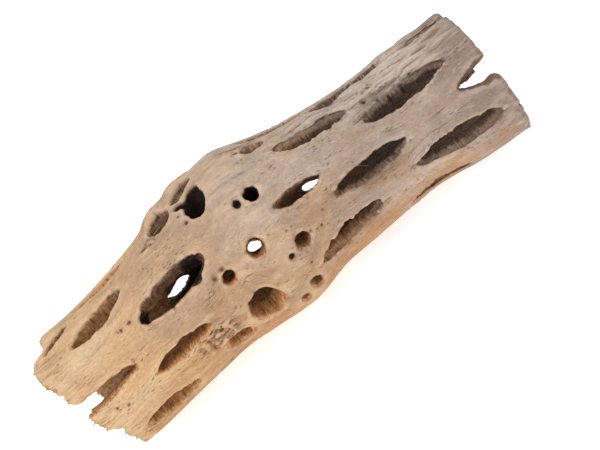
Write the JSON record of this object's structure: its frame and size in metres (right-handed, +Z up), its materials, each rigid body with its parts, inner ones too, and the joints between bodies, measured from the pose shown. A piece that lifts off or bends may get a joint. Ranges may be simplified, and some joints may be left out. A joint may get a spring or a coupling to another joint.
{
  "type": "cholla wood",
  "caption": "Hollow dried cholla stem: a thick woody tube pierced by lens-shaped windows, sawn square at one end and torn at the other.",
  "frame": {"origin": "on the ground, under the middle of the stem as it lies", "axes": "+X along the stem towards the sawn end, +Z up, -Y towards the side that the picture shows"},
  "size_m": [0.2539, 0.0876, 0.0837],
  "materials": {
    "dry_wood": "dry, weathered, matt, with a long flowing grain"
  },
  "bodies": {
    "root": {"cholla_stem": "dry_wood"}
  },
  "joints": []
}
